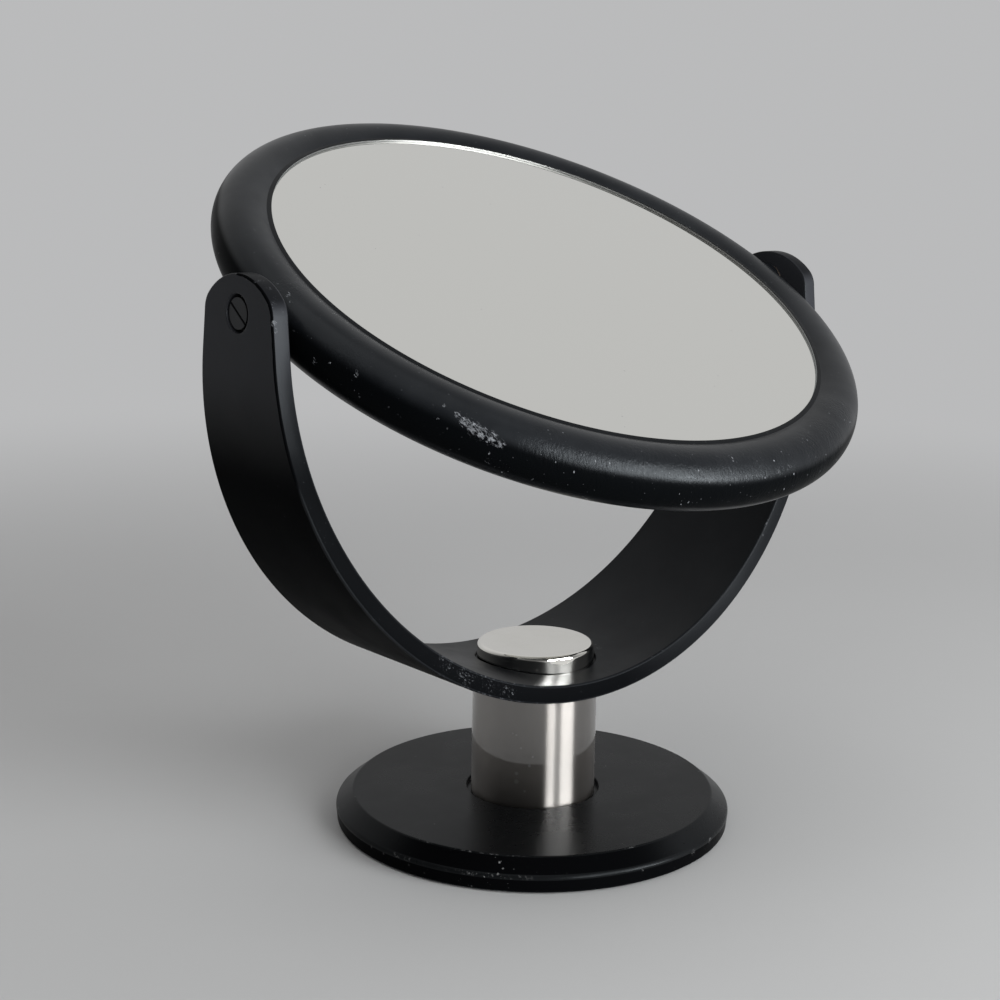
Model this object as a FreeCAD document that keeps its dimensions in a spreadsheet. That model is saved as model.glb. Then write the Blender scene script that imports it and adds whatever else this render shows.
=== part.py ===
import FreeCAD, Part
import os
import math
import Sketcher

# Tilting vanity mirror on a weighted round base: a post tube carries a tapered U-shaped yoke, and a
# two-sided round mirror head turns between the yoke's ears. Millimetres, +Z up, floor at z = 0, post axis on
# Z, head axis along X. The head is built lying flat in its own frame and is then tilted to its rest angle.

os.makedirs("parts", exist_ok=True)
doc = FreeCAD.newDocument("tilting_mirror")

sizes = {
    # weighted base
    "base_radius": 50.0,
    "base_top_radius": 45.7,
    "base_foot_radius": 49.6,
    "base_rim": 0.4,
    "bevel_low": 4.2,
    "base_top": 7.6,
    "base_round": 0.5,
    "cavity_radius": 46.4,
    "cavity_top": 4.4,
    "recess_radius": 16.9,
    "recess_floor": 6.4,
    "locator_radius": 14.2,
    "locator_top": 9.6,
    "weight_bore": 10.0,
    "pad_thickness": 1.0,
    # post tube and the bolt that clamps base, tube, yoke and cap together
    "tube_radius": 15.8,
    "tube_bore": 14.3,
    "tube_top": 37.9,
    "bolt_radius": 3.0,
    "bolt_hole": 3.3,
    "bolt_head_radius": 5.6,
    "bolt_head_bottom": 1.3,
    "bolt_socket": 4.0,
    "bolt_tip": 44.0,
    "washer_radius": 9.0,
    "washer_thickness": 1.0,
    # yoke: a band bent to a U, wide at the post and narrow at the ears
    "yoke_radius": 87.7,
    "yoke_thickness": 4.3,
    "yoke_bottom": 36.55,
    "yoke_foot_width": 46.5,
    "ear_width": 26.9,
    "ear_shoulder": 132.9,
    "ear_rise": 8.95,
    "ear_corner": 6.0,
    "seat_radius": 15.7,
    "spigot_bottom": 33.9,
    # cap
    "cap_radius": 14.8,
    "cap_top": 45.5,
    "cap_round": 0.6,
    "insert_across": 9.0,
    "insert_top": 44.3,
    # head and its axis
    "pivot_height": 133.2,
    "head_tilt": 26.92,
    "ring_radius": 82.63,
    "section_radius": 7.1,
    "crown_radius": 9.1,
    "lip_radius": 70.6,
    "flange_radius": 66.0,
    "ring_wall": 2.0,
    "part_line": 0.2,
    "key_height": 1.6,
    "key_root": 2.0,
    "key_angle": 156.0,
    "glass_radius": 70.4,
    "glass_face": 5.75,
    "plain_glass": 3.0,
    "bevel_width": 0.9,
    "bevel_drop": 0.12,
    "bent_glass": 2.6,
    "bent_radius": 930.0,
    "bent_centre": 3.05,
    "boss_radius": 5.6,
    "boss_root": 77.5,
    "boss_face": 82.95,
    "nut_across": 7.0,
    "nut_near": 78.6,
    "nut_thickness": 3.0,
    "screw_radius": 2.0,
    "bush_bore": 2.05,
    "bush_radius": 3.0,
    "screw_tip": 77.9,
    "screw_head_radius": 3.5,
    "screw_head_thickness": 1.9,
    "slot_width": 0.6,
    "slot_depth": 0.5,
    "slot_turn": 52.8,
    "sink_radius": 4.3,
    "sink_depth": 2.5,
    "friction_radius": 5.2,
    "friction_thickness": 0.38,
    "spring_radius": 3.9,
    "spring_thickness": 0.3,
    "split_half": 0.35,
}

# sizes worked out from the ones above; the sheet keeps them as formulas
formulas = {
    "yoke_inner": "=yoke_radius - yoke_thickness",
    "yoke_centre": "=yoke_bottom + yoke_radius",
    "yoke_floor": "=yoke_bottom + yoke_thickness",
    "yoke_top": "=ear_shoulder + ear_rise + 4",
    "yoke_span": "=yoke_radius * 2 + 10",
    "blank_width": "=yoke_foot_width + 4",
    "trim_half": "=blank_width / 2 + 4",
    "trim_top": "=yoke_top + 4",
    "trim_low": "=yoke_bottom - 8",
    "ear_half": "=ear_width / 2",
    "taper_foot": "=yoke_bottom - 4",
    "taper_rate": "=(yoke_foot_width - ear_width) / 2 / (ear_shoulder - yoke_bottom)",
    "foot_half": "=yoke_foot_width / 2 + 4 * taper_rate",
    "corner_side": "=ear_half - ear_corner",
    "crown_drop": "=(corner_side ^ 2 - (ear_rise - ear_corner) ^ 2) / 2 / (ear_rise - ear_corner)",
    "ear_crown": "=ear_rise + crown_drop",
    "corner_x": "=corner_side * ear_crown / (ear_crown - ear_corner)",
    "corner_z": "=ear_shoulder - crown_drop + crown_drop * ear_crown / (ear_crown - ear_corner)",
    "washer_bottom": "=cavity_top - washer_thickness",
    "weight_radius": "=cavity_radius - 0.2",
    "weight_thickness": "=cavity_top - pad_thickness",
    "bolt_chamfer": "=bolt_head_bottom + 0.4",
    "bolt_head_face": "=bolt_head_radius - 0.4",
    "bolt_tip_radius": "=bolt_radius - 0.4",
    "bolt_tip_low": "=bolt_tip - 0.4",
    "tube_length": "=tube_top - recess_floor",
    "seat_bore": "=tube_radius + 0.1",
    "spigot_length": "=tube_top - spigot_bottom",
    "cap_foot_radius": "=cap_radius - 0.25",
    "cap_foot_top": "=yoke_floor + 0.2",
    "insert_bottom": "=yoke_floor + 0.1",
    "insert_length": "=insert_top - insert_bottom",
    "insert_corner": "=insert_across / 2 / cos(30deg)",
    "insert_hole_corner": "=insert_corner + 0.03",
    "insert_hole_top": "=insert_top + 0.1 - yoke_floor",
    "insert_bore": "=bolt_radius + 0.05",
    "socket_corner": "=bolt_socket / 2 / cos(30deg)",
    "bush_hole": "=bush_radius + 0.02",
    "bush_length": "=sink_floor - yoke_inner",
    "sink_start": "=yoke_radius + 1",
    "sink_cut": "=sink_depth + 1",
    "section_centre": "=ring_radius - section_radius",
    "wall_outer": "=ring_radius - ring_wall",
    "cavity_round": "=section_radius - ring_wall",
    "wall_inner": "=lip_radius + 1.8",
    "wall_crest": "=sqrt(cavity_round ^ 2 - (section_centre - wall_inner) ^ 2)",
    "part_radius": "=section_centre + sqrt(section_radius ^ 2 - part_line ^ 2)",
    "part_inset": "=ring_radius - part_line",
    "lip_crest": "=section_radius - crown_radius + sqrt(crown_radius ^ 2 - (section_centre - lip_radius) ^ 2)",
    "flange_top": "=glass_back - 0.05",
    "key_outer": "=wall_outer - 0.45",
    "key_inner": "=key_outer - 1.2",
    "key_foot": "=wall_outer + 0.6",
    "glass_flat": "=glass_radius - bevel_width",
    "glass_shoulder": "=glass_face - bevel_drop",
    "glass_back": "=glass_face - plain_glass",
    "bent_rise": "=bent_radius - sqrt(bent_radius ^ 2 - glass_radius ^ 2)",
    "bent_edge": "=bent_centre + bent_rise",
    "bent_inner": "=bent_centre - bent_glass",
    "bent_inner_edge": "=bent_edge - bent_glass",
    "filler_radius": "=flange_radius - 0.2",
    "filler_front": "=glass_back - 0.05",
    "filler_back": "=bent_inner - 0.05",
    "filler_edge": "=filler_back + bent_radius - sqrt(bent_radius ^ 2 - filler_radius ^ 2)",
    "sink_floor": "=yoke_radius - sink_depth",
    "spring_near": "=sink_floor + 0.05",
    "head_near": "=spring_near + spring_thickness",
    "head_far": "=head_near + screw_head_thickness",
    "slot_floor": "=head_far - slot_depth",
    "friction_near": "=boss_face + 0.02",
    "screw_hole": "=screw_radius + 0.1",
    "nut_bore": "=screw_radius + 0.02",
    "nut_half": "=nut_across / 2",
    "nut_slot_half": "=nut_half + 0.05",
    "nut_slot_wide": "=nut_slot_half * 2",
    "nut_slot_near": "=nut_near - 0.1",
    "nut_slot_far": "=nut_near + nut_thickness + 0.1",
    "boss_length": "=boss_face - boss_root",
    "boss_start": "=boss_face + 0.5",
    "boss_cut": "=boss_length + 1",
    "slot_half": "=slot_width / 2",
    "slot_reach": "=screw_head_radius + 1",
}

sheet = doc.addObject("Spreadsheet::Sheet", "Sizes")
for row, name in enumerate(sizes, start=1):
    sheet.set("A%d" % row, name)
    sheet.set("B%d" % row, str(sizes[name]))
    sheet.setAlias("B%d" % row, name)
for row, name in enumerate(formulas, start=len(sizes) + 1):
    sheet.set("A%d" % row, name)
    sheet.set("B%d" % row, formulas[name])
    sheet.setAlias("B%d" % row, name)
doc.recompute()

nodes = []


def value(name):
    """Number of a size; a leading minus turns its sign, and plain numbers pass through."""
    if not isinstance(name, str):
        return float(name)
    if name.startswith("-"):
        return -float(sheet.get(name[1:]))
    return float(sheet.get(name))


def bind(thing, prop, name):
    """Ties a property to a size in the sheet."""
    if isinstance(name, str):
        sign = "-" if name.startswith("-") else ""
        thing.setExpression(prop, sign + "Sizes." + name.lstrip("-"))


def new_body(label):
    body = doc.addObject("PartDesign::Body", label)
    body.Label = label
    nodes.append(body)
    return body


def new_sketch(body, name, plane, lift=0):
    """Sketch on one of the body's own planes, lifted along that plane's normal."""
    sketch = body.newObject("Sketcher::SketchObject", name)
    origin_plane = [f for f in body.Origin.OriginFeatures if f.Role == plane][0]
    sketch.AttachmentSupport = (origin_plane, [""])
    sketch.MapMode = "FlatFace"
    sketch.AttachmentOffset.Base.z = value(lift)
    bind(sketch, "AttachmentOffset.Base.z", lift)
    return sketch


def hold_point(sketch, geometry, end, across, up):
    """Fixes a sketch point by its two distances from the origin."""
    for kind, name in (("DistanceX", across), ("DistanceY", up)):
        number = value(name)
        if abs(number) < 1e-9:
            axis = -2 if kind == "DistanceX" else -1
            sketch.addConstraint(Sketcher.Constraint("PointOnObject", geometry, end, axis))
            continue
        name_up = name
        first, second = (-1, 1), (geometry, end)
        if number < 0:
            first, second = second, first
            if isinstance(name, str):
                name_up = name.lstrip("-")
        index = sketch.addConstraint(Sketcher.Constraint(kind, *first, *second, abs(number)))
        bind(sketch, "Constraints[%d]" % index, name_up)


def add_circle(sketch, radius, across=0, up=0):
    centre = FreeCAD.Vector(value(across), value(up), 0)
    index = sketch.addGeometry(Part.Circle(centre, FreeCAD.Vector(0, 0, 1), value(radius)))
    hold_point(sketch, index, 3, across, up)
    size = sketch.addConstraint(Sketcher.Constraint("Radius", index, value(radius)))
    bind(sketch, "Constraints[%d]" % size, radius)


def add_outline(sketch, corners):
    """Closed outline. A corner is (across, up), and one that starts an arc to the next corner is
    (across, up, radius, side), where side is +1 for a centre on the left of the way there, -1 for one on
    the right."""
    points = [FreeCAD.Vector(value(c[0]), value(c[1]), 0) for c in corners]
    first = sketch.GeometryCount
    for i, corner in enumerate(corners):
        here = points[i]
        there = points[(i + 1) % len(corners)]
        if len(corner) == 2:
            sketch.addGeometry(Part.LineSegment(here, there))
            continue
        radius, side = value(corner[2]), corner[3]
        chord = there - here
        normal = FreeCAD.Vector(-chord.y, chord.x, 0).normalize() * side
        centre = (here + there) * 0.5 + normal * math.sqrt(max(radius ** 2 - chord.Length ** 2 / 4, 0))
        # an arc is always kept anticlockwise, whichever way the outline runs along it
        begin, finish = (here, there) if side > 0 else (there, here)
        turn_from = math.atan2(begin.y - centre.y, begin.x - centre.x)
        turn_to = math.atan2(finish.y - centre.y, finish.x - centre.x)
        if turn_to < turn_from:
            turn_to += 2 * math.pi
        circle = Part.Circle(centre, FreeCAD.Vector(0, 0, 1), radius)
        sketch.addGeometry(Part.ArcOfCircle(circle, turn_from, turn_to))
    # the end of each line or arc that lies at its own corner
    starts = [end_at(sketch, first + i, point) for i, point in enumerate(points)]
    for i, corner in enumerate(corners):
        here = first + i
        before = first + (i - 1) % len(corners)
        finish = 3 - starts[i - 1]
        sketch.addConstraint(Sketcher.Constraint("Coincident", before, finish, here, starts[i]))
        hold_point(sketch, here, starts[i], corner[0], corner[1])
        if len(corner) == 4:
            size = sketch.addConstraint(Sketcher.Constraint("Radius", here, value(corner[2])))
            bind(sketch, "Constraints[%d]" % size, corner[2])


def end_at(sketch, geometry, point):
    """Which end of a line or arc lies at a point: 1 or 2."""
    shape = sketch.Geometry[geometry]
    return 1 if (shape.StartPoint - point).Length < (shape.EndPoint - point).Length else 2


def add_square(sketch, half):
    """Square about the sketch's origin from its half width."""
    add_outline(sketch, [("-" + half, "-" + half), (half, "-" + half), (half, half), ("-" + half, half)])


def revolve(body, name, corners):
    """Turns an outline of (radius, height) corners about Z."""
    sketch = new_sketch(body, name + "_section", "XZ_Plane")
    add_outline(sketch, corners)
    turn = body.newObject("PartDesign::Revolution", name)
    turn.Profile = sketch
    turn.ReferenceAxis = (sketch, ["V_Axis"])
    turn.Angle = 360
    return turn


def pad(body, name, sketch, length, both=False, back=False):
    push = body.newObject("PartDesign::Pad", name)
    push.Profile = sketch
    push.Length = value(length)
    bind(push, "Length", length)
    push.Midplane = both
    push.Reversed = back
    return push


def pocket(body, name, sketch, length, both=False, back=False):
    cut = body.newObject("PartDesign::Pocket", name)
    cut.Profile = sketch
    cut.Length = value(length)
    bind(cut, "Length", length)
    cut.Midplane = both
    cut.Reversed = back
    return cut


def mirror(body, name, features, plane="YZ_Plane"):
    """Repeats features on the other side of one of the body's planes."""
    twin = body.newObject("PartDesign::Mirrored", name)
    twin.Originals = features
    twin.MirrorPlane = ([f for f in body.Origin.OriginFeatures if f.Role == plane][0], [""])
    body.Tip = twin
    return twin


def fillet_where(body, name, radius, wanted):
    """Rounds those edges of the body's last feature for which wanted(edge) is true."""
    last = body.Tip
    doc.recompute()
    edges = ["Edge%d" % (i + 1) for i, edge in enumerate(last.Shape.Edges) if wanted(edge)]
    round_off = body.newObject("PartDesign::Fillet", name)
    round_off.Base = (last, edges)
    round_off.Radius = value(radius)
    bind(round_off, "Radius", radius)
    return round_off


def add_hexagon(sketch, corner):
    """Hexagon about the origin from its corner radius, one corner on the across axis."""
    circle = sketch.addGeometry(Part.Circle(FreeCAD.Vector(), FreeCAD.Vector(0, 0, 1), value(corner)), True)
    sketch.addConstraint(Sketcher.Constraint("Coincident", circle, 3, -1, 1))
    size = sketch.addConstraint(Sketcher.Constraint("Radius", circle, value(corner)))
    bind(sketch, "Constraints[%d]" % size, corner)
    angles = [math.radians(60 * i) for i in range(7)]
    tips = [FreeCAD.Vector(math.cos(a), math.sin(a), 0) * value(corner) for a in angles]
    sides = [sketch.addGeometry(Part.LineSegment(tips[i], tips[i + 1])) for i in range(6)]
    for i, side in enumerate(sides):
        sketch.addConstraint(Sketcher.Constraint("Coincident", side, 2, sides[(i + 1) % 6], 1))
        sketch.addConstraint(Sketcher.Constraint("PointOnObject", side, 1, circle))
        if i:
            sketch.addConstraint(Sketcher.Constraint("Equal", sides[0], side))
    sketch.addConstraint(Sketcher.Constraint("PointOnObject", sides[0], 1, -1))


def add_block(sketch, near, far, half):
    """Rectangle from near to far across, reaching half to each side of the across axis."""
    add_outline(sketch, [(near, "-" + half), (far, "-" + half), (far, half), (near, half)])


def ring_plate(label, bottom, length, outer, inner, plane="XY_Plane"):
    """Washer, tube or disc: two circles padded from a height."""
    body = new_body(label)
    sketch = new_sketch(body, label + "_rings", plane, bottom)
    add_circle(sketch, outer)
    if inner:
        add_circle(sketch, inner)
    pad(body, label + "_pad", sketch, length)
    return body


def at_pivot(body, side, tilted):
    """Stands a piece built along +Z on the head's axis: side +1 points it along +X, -1 along -X. A tilted
    piece also takes the head's rest angle."""
    turn = FreeCAD.Rotation(FreeCAD.Vector(0, 1, 0), 90 * side)
    if tilted:
        turn = FreeCAD.Rotation(FreeCAD.Vector(1, 0, 0), value("head_tilt")).multiply(turn)
    body.Placement = FreeCAD.Placement(FreeCAD.Vector(0, 0, value("pivot_height")), turn)
    body.setExpression("Placement.Base.z", "Sizes.pivot_height")


def tilt_head_piece(body):
    turn = FreeCAD.Rotation(FreeCAD.Vector(1, 0, 0), value("head_tilt"))
    body.Placement = FreeCAD.Placement(FreeCAD.Vector(0, 0, value("pivot_height")), turn)
    body.setExpression("Placement.Base.z", "Sizes.pivot_height")


# ---- stand ----

def make_base():
    shell = new_body("base_shell")
    revolve(shell, "base_turned", [
        ("bolt_hole", "cavity_top"),
        ("cavity_radius", "cavity_top"),
        ("cavity_radius", "base_rim"),
        ("base_foot_radius", "base_rim"),
        ("base_radius", "bevel_low"),
        ("base_top_radius", "base_top"),
        ("recess_radius", "base_top"),
        ("recess_radius", "recess_floor"),
        ("locator_radius", "recess_floor"),
        ("locator_radius", "locator_top"),
        ("bolt_hole", "locator_top"),
    ])
    # the two edges of the bevel and the lip of the tube recess are eased
    eased = [value("base_radius"), value("base_top_radius"), value("recess_radius")]
    fillet_where(shell, "base_eased", "base_round", lambda edge: is_ring(edge, eased) and
                 edge.BoundBox.ZMin > value("recess_floor") - 3 and edge.BoundBox.ZMin != value("recess_floor"))
    ring_plate("base_weight", "pad_thickness", "weight_thickness", "weight_radius", "weight_bore")
    ring_plate("foot_pad", 0, "pad_thickness", "weight_radius", None)


def is_ring(edge, radii):
    """True for a full circle with one of the radii."""
    if not isinstance(edge.Curve, Part.Circle) or len(edge.Vertexes) > 1:
        return False
    return any(abs(edge.Curve.Radius - radius) < 0.01 for radius in radii)


def make_post():
    bolt = new_body("tie_bolt")
    revolve(bolt, "bolt_turned", [
        (0, "bolt_head_bottom"),
        ("bolt_head_face", "bolt_head_bottom"),
        ("bolt_head_radius", "bolt_chamfer"),
        ("bolt_head_radius", "washer_bottom"),
        ("bolt_radius", "washer_bottom"),
        ("bolt_radius", "bolt_tip_low"),
        ("bolt_tip_radius", "bolt_tip"),
        (0, "bolt_tip"),
    ])
    socket = new_sketch(bolt, "bolt_socket_outline", "XY_Plane", "bolt_head_bottom")
    add_hexagon(socket, "socket_corner")
    pocket(bolt, "bolt_socket", socket, "bolt_head_bottom", back=True)
    ring_plate("tie_washer", "washer_bottom", "washer_thickness", "washer_radius", "bolt_hole")
    tube = ring_plate("post_tube", "recess_floor", "tube_length", "tube_radius", "tube_bore")
    doc.recompute()
    mouths = [value("tube_radius"), value("tube_bore")]
    edges = ["Edge%d" % (i + 1) for i, edge in enumerate(tube.Tip.Shape.Edges) if is_ring(edge, mouths)]
    last = tube.Tip
    eased = tube.newObject("PartDesign::Chamfer", "tube_mouths")
    eased.Base = (last, edges)
    eased.Size = 0.25


def make_yoke():
    yoke = new_body("yoke")
    band = new_sketch(yoke, "band_outline", "XZ_Plane")
    add_outline(band, [
        ("-yoke_radius", "yoke_top"),
        ("-yoke_radius", "yoke_centre", "yoke_radius", 1),
        (0, "yoke_bottom", "yoke_radius", 1),
        ("yoke_radius", "yoke_centre"),
        ("yoke_radius", "yoke_top"),
        ("yoke_inner", "yoke_top"),
        ("yoke_inner", "yoke_centre", "yoke_inner", -1),
        (0, "yoke_floor", "yoke_inner", -1),
        ("-yoke_inner", "yoke_centre"),
        ("-yoke_inner", "yoke_top"),
    ])
    pad(yoke, "band", band, "blank_width", both=True)
    # from the side the band tapers from the post to the ears, which end in three-centred arches
    taper = new_sketch(yoke, "taper_outline", "YZ_Plane")
    add_outline(taper, [
        ("-foot_half", "taper_foot"),
        ("foot_half", "taper_foot"),
        ("ear_half", "ear_shoulder", "ear_corner", 1),
        ("corner_x", "corner_z", "ear_crown", 1),
        ("-corner_x", "corner_z", "ear_corner", 1),
        ("-ear_half", "ear_shoulder"),
    ])
    add_outline(taper, [
        ("-trim_half", "trim_low"),
        ("trim_half", "trim_low"),
        ("trim_half", "trim_top"),
        ("-trim_half", "trim_top"),
    ])
    pocket(yoke, "taper", taper, "yoke_span", both=True)
    # flat seats for the tube below and the cap above, and the spigot that enters the tube
    tube_seat = new_sketch(yoke, "tube_seat_outline", "XY_Plane", "tube_top")
    add_circle(tube_seat, "seat_bore")
    pocket(yoke, "tube_seat", tube_seat, "spigot_length")
    cap_seat = new_sketch(yoke, "cap_seat_outline", "XY_Plane", "yoke_floor")
    add_circle(cap_seat, "seat_radius")
    pocket(yoke, "cap_seat", cap_seat, "spigot_length", back=True)
    spigot = new_sketch(yoke, "spigot_outline", "XY_Plane", "spigot_bottom")
    add_circle(spigot, "locator_radius")
    pad(yoke, "spigot", spigot, "spigot_length")
    bolt_way = new_sketch(yoke, "bolt_way_outline", "XY_Plane")
    add_circle(bolt_way, "bolt_hole")
    pocket(yoke, "bolt_way", bolt_way, "yoke_span", both=True)
    # pivot holes with sunk seats for the screw heads
    pivot_hole = new_sketch(yoke, "pivot_hole_outline", "YZ_Plane")
    add_circle(pivot_hole, "bush_hole", 0, "pivot_height")
    pocket(yoke, "pivot_hole", pivot_hole, "yoke_span", both=True)
    for name, start, inward in (("right_sink", "sink_start", False), ("left_sink", "-sink_start", True)):
        sink = new_sketch(yoke, name + "_outline", "YZ_Plane", start)
        add_circle(sink, "sink_radius", 0, "pivot_height")
        pocket(yoke, name, sink, "sink_cut", back=inward)


def make_cap():
    cap = new_body("cap")
    revolve(cap, "cap_turned", [
        (0, "yoke_floor"),
        ("cap_foot_radius", "yoke_floor"),
        ("cap_foot_radius", "cap_foot_top"),
        ("cap_radius", "cap_foot_top"),
        ("cap_radius", "cap_top"),
        (0, "cap_top"),
    ])
    fillet_where(cap, "cap_eased", "cap_round", lambda edge: is_ring(edge, [value("cap_radius")]) and
                 edge.BoundBox.ZMin > value("insert_top"))
    hole = new_sketch(cap, "insert_hole_outline", "XY_Plane", "yoke_floor")
    add_hexagon(hole, "insert_hole_corner")
    pocket(cap, "insert_hole", hole, "insert_hole_top", back=True)
    insert = new_body("cap_insert")
    flats = new_sketch(insert, "insert_flats", "XY_Plane", "insert_bottom")
    add_hexagon(flats, "insert_corner")
    add_circle(flats, "insert_bore")
    pad(insert, "insert_pad", flats, "insert_length")


def make_bush(side_name, side):
    at_pivot(ring_plate("pivot_bush_" + side_name, "yoke_inner", "bush_length", "bush_radius", "bush_bore"),
             side, False)


# ---- mirror head, lying flat with the plain glass upwards ----

def make_bezel(label, up):
    """Half of the ring, with a flange inside that its glass is bonded to. up is +1 for the front half and -1
    for the rear half, which also has the key that centres the halves."""
    def lift(name):
        return name if up > 0 else "-" + name

    bezel = new_body(label)
    outline = [
        ("part_inset", 0),
        ("part_radius", lift("part_line"), "section_radius", up),
        ("section_centre", lift("section_radius"), "crown_radius", up),
        ("lip_radius", lift("lip_crest")),
        ("lip_radius", lift("flange_top")),
        ("flange_radius", lift("flange_top")),
        ("flange_radius", 0),
        ("wall_inner", 0),
        ("wall_inner", lift("wall_crest"), "cavity_round", -up),
        ("wall_outer", 0),
    ]
    revolve(bezel, label + "_turned", outline)
    # half of each pivot boss, with the way for the screw
    half_boss = new_sketch(bezel, label + "_boss_outline", "YZ_Plane", "boss_root")
    add_outline(half_boss, [
        ("-boss_radius", 0),
        ("boss_radius", 0, "boss_radius", up),
        (0, lift("boss_radius"), "boss_radius", up),
    ])
    boss = pad(bezel, label + "_boss", half_boss, "boss_length")
    way = new_sketch(bezel, label + "_screw_way", "YZ_Plane", "boss_start")
    add_circle(way, "screw_hole")
    drilled = pocket(bezel, label + "_screw_hole", way, "boss_cut")
    # half of the nut's pocket, open at the joint
    nut_slot = new_sketch(bezel, label + "_nut_slot", "XY_Plane")
    add_block(nut_slot, "nut_slot_near", "nut_slot_far", "nut_slot_half")
    nut_pocket = pocket(bezel, label + "_nut_pocket", nut_slot, "nut_slot_wide", both=True)
    mirror(bezel, label + "_bosses", [boss, drilled, nut_pocket])
    if up < 0:
        # two curved keys stand up from the joint, clear of the bosses
        key_section = new_sketch(bezel, "key_section", "YZ_Plane")
        add_outline(key_section, [
            ("key_inner", "-key_root"),
            ("key_foot", "-key_root"),
            ("key_foot", 0),
            ("key_outer", 0),
            ("key_outer", "key_height"),
            ("key_inner", "key_height"),
        ])
        key = bezel.newObject("PartDesign::Revolution", "key")
        key.Profile = key_section
        key.ReferenceAxis = (key_section, ["V_Axis"])
        key.Midplane = True
        key.Angle = value("key_angle")
        bind(key, "Angle", "key_angle")
        mirror(bezel, "key_pair", [key], "XZ_Plane")
    tilt_head_piece(bezel)


def make_glasses():
    plain = new_body("front_glass")
    revolve(plain, "plain_glass_ground", [
        (0, "glass_back"),
        ("glass_radius", "glass_back"),
        ("glass_radius", "glass_shoulder"),
        ("glass_flat", "glass_face"),
        (0, "glass_face"),
    ])
    bent = new_body("rear_glass")
    revolve(bent, "bent_glass_slumped", [
        (0, "-bent_centre", "bent_radius", -1),
        ("glass_radius", "-bent_edge"),
        ("glass_radius", "-bent_inner_edge", "bent_radius", 1),
        (0, "-bent_inner"),
    ])
    filler = new_body("glass_backing_pad")
    revolve(filler, "filler_cut", [
        (0, "-filler_back", "bent_radius", -1),
        ("filler_radius", "-filler_edge"),
        ("filler_radius", "filler_front"),
        (0, "filler_front"),
    ])
    for piece in (plain, bent, filler):
        tilt_head_piece(piece)


def make_pivot(side_name, side):
    nut = new_body("pivot_nut_" + side_name)
    flats = new_sketch(nut, "nut_flats_" + side_name, "XY_Plane", "nut_near")
    add_square(flats, "nut_half")
    add_circle(flats, "nut_bore")
    pad(nut, "nut_pad_" + side_name, flats, "nut_thickness")
    at_pivot(nut, side, True)

    screw = new_body("pivot_screw_" + side_name)
    revolve(screw, "screw_turned_" + side_name, [
        (0, "screw_tip"),
        ("screw_radius", "screw_tip"),
        ("screw_radius", "head_near"),
        ("screw_head_radius", "head_near"),
        ("screw_head_radius", "head_far"),
        (0, "head_far"),
    ])
    slot = new_sketch(screw, "slot_outline_" + side_name, "XY_Plane", "slot_floor")
    add_block(slot, "-slot_reach", "slot_reach", "slot_half")
    slot.AttachmentOffset.Rotation.Angle = math.radians(value("slot_turn"))
    pocket(screw, "slot_" + side_name, slot, "slot_depth", back=True)
    at_pivot(screw, side, False)

    friction = ring_plate("friction_washer_" + side_name, "friction_near", "friction_thickness",
                          "friction_radius", "screw_hole")
    at_pivot(friction, side, False)

    spring = ring_plate("spring_washer_" + side_name, "spring_near", "spring_thickness",
                        "spring_radius", "screw_hole")
    split = new_sketch(spring, "split_outline_" + side_name, "XY_Plane", "spring_near")
    add_block(split, 0, "slot_reach", "split_half")
    pocket(spring, "split_" + side_name, split, "spring_thickness", back=True)
    at_pivot(spring, side, False)


make_base()
make_post()
make_yoke()
make_cap()
make_bezel("front_bezel", 1)
make_bezel("rear_bezel", -1)
make_glasses()
for side_name, side in (("left", -1), ("right", 1)):
    make_bush(side_name, side)
    make_pivot(side_name, side)
doc.recompute()

for thing in doc.Objects:
    if "Invalid" in thing.State or "Error" in thing.State:
        raise RuntimeError(thing.Name + " failed: " + str(thing.State))
for body in nodes:
    shape = body.Shape
    if shape.isNull() or not shape.isValid() or len(shape.Solids) != 1:
        raise RuntimeError(body.Label + " is not one valid solid")
    shape.exportStep("parts/" + body.Label + ".step")
    print("%-24s %9.1f mm3" % (body.Label, shape.Volume))
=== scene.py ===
import math
import bmesh
import bpy
import numpy as np
from mathutils import Matrix


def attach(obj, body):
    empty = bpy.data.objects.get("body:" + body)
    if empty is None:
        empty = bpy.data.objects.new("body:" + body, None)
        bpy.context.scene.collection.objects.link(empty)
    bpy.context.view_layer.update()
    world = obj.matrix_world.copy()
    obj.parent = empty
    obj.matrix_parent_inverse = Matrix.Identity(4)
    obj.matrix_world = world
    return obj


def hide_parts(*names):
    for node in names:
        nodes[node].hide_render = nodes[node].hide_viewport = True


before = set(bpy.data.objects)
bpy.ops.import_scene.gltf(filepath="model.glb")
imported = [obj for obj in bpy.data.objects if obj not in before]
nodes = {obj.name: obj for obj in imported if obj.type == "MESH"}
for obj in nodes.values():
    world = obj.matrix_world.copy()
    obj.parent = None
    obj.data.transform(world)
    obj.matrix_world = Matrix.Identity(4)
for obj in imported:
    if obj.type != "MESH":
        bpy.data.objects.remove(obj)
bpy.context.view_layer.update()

# Tilting table mirror on a weighted base. The frame gives the fittings; the ring, the two glasses, the
# yoke, the cap, the post and the base are made again here with softened edges, and everything gets its
# finish. Post axis on Z, head axis along X. The pieces' dictionaries are in millimetres, and those of the
# stage, the lamps and the camera in metres.

mm = 0.001


# how finishes are put together

def newMaterial(name):
    material = bpy.data.materials.new(name)
    material.use_nodes = True
    tree = material.node_tree
    return material, tree, tree.nodes["Principled BSDF"]


def plug(tree, socket, value):
    if isinstance(value, bpy.types.NodeSocket):
        tree.links.new(value, socket)
    else:
        socket.default_value = value


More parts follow.
